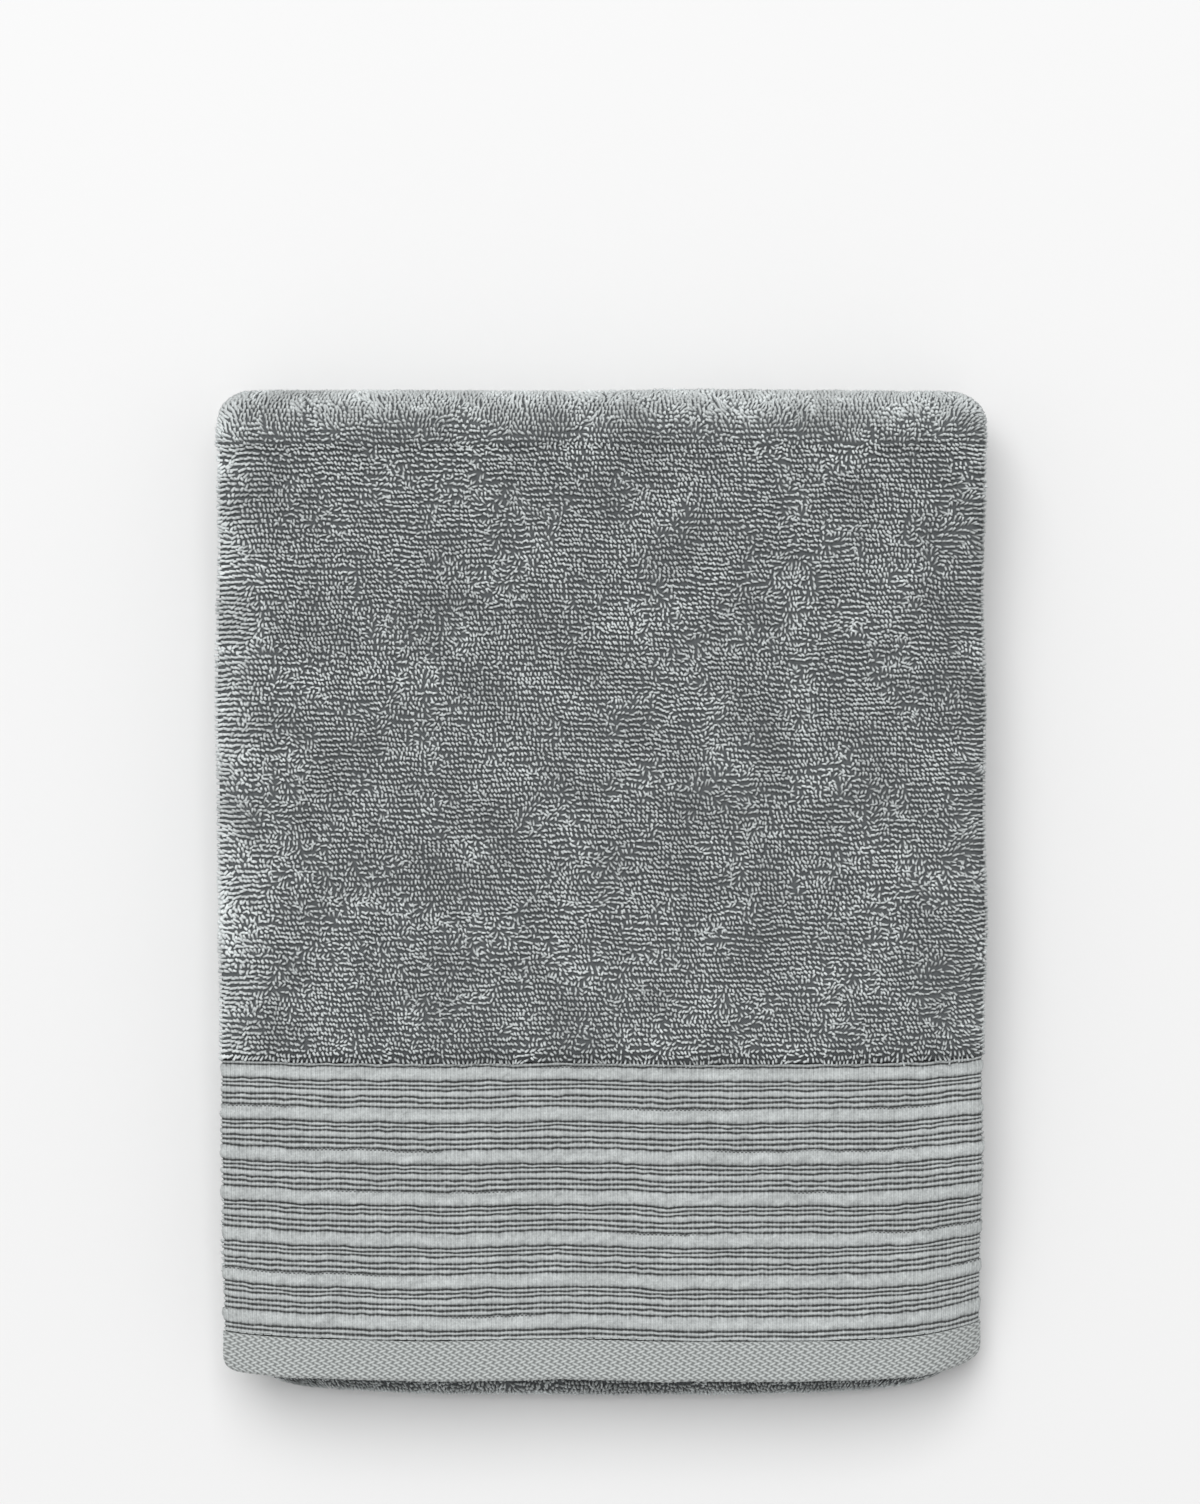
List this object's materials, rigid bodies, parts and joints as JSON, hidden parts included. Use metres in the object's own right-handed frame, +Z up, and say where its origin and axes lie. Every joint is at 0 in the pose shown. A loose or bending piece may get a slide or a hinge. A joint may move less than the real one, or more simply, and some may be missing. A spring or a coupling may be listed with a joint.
{
  "type": "folded bath towel",
  "caption": "Terry bath towel folded lengthwise in thirds and crosswise twice, with a ribbed woven border and flat hem along its open end; opens about its back fold.",
  "frame": {"origin": "on the floor under the middle of the folded towel's bounding box", "axes": "+Z up out of the towel's broad face, +Y along its length from the hemmed open end to the back folds, +X across its width to the right"},
  "size_m": [0.254, 0.336, 0.0417],
  "materials": {
    "terry": "matt looped cotton pile, cool mid grey",
    "ribbed_border": "flat woven cotton with raised ribs across the towel, light cool grey",
    "hem_twill": "flat woven cotton twill, light grey",
    "side_hem": "turned and stitched plain weave, light grey",
    "sewing_thread": "fine cotton thread, light grey"
  },
  "bodies": {
    "lower_half": {"bottom_quarter_terry": "terry", "bottom_quarter_left_side_hem": "side_hem", "bottom_quarter_right_side_hem": "side_hem", "third_quarter_terry": "terry", "third_quarter_left_side_hem": "side_hem", "third_quarter_right_side_hem": "side_hem", "outer_back_fold_centre_third": "terry", "outer_back_fold_left_third": "terry", "outer_back_fold_right_third": "terry", "inner_back_fold_centre_third": "terry", "inner_back_fold_left_third": "terry", "inner_back_fold_right_third": "terry", "front_fold_centre_third": "terry", "front_fold_left_third": "terry", "front_fold_right_third": "terry"},
    "upper_half": {"second_quarter_terry": "terry", "second_quarter_left_side_hem": "side_hem", "second_quarter_right_side_hem": "side_hem", "top_quarter_terry": "terry", "top_quarter_left_side_hem": "side_hem", "top_quarter_right_side_hem": "side_hem", "second_quarter_ribbed_border": "ribbed_border", "top_quarter_ribbed_border": "ribbed_border", "second_quarter_end_hem": "hem_twill", "top_quarter_end_hem": "hem_twill", "second_quarter_end_hem_thread": "sewing_thread", "top_quarter_end_hem_thread": "sewing_thread"}
  },
  "joints": [
    {"name": "back_fold_opening", "type": "hinge", "parent": "lower_half", "child": "upper_half", "pos_m": [0, 0.14715, 0.02085], "axis": [-1, 0, 0], "range_deg": [0, 180], "deforming": ["outer_back_fold_centre_third", "outer_back_fold_left_third", "outer_back_fold_right_third", "inner_back_fold_centre_third", "inner_back_fold_left_third", "inner_back_fold_right_third"]}
  ]
}
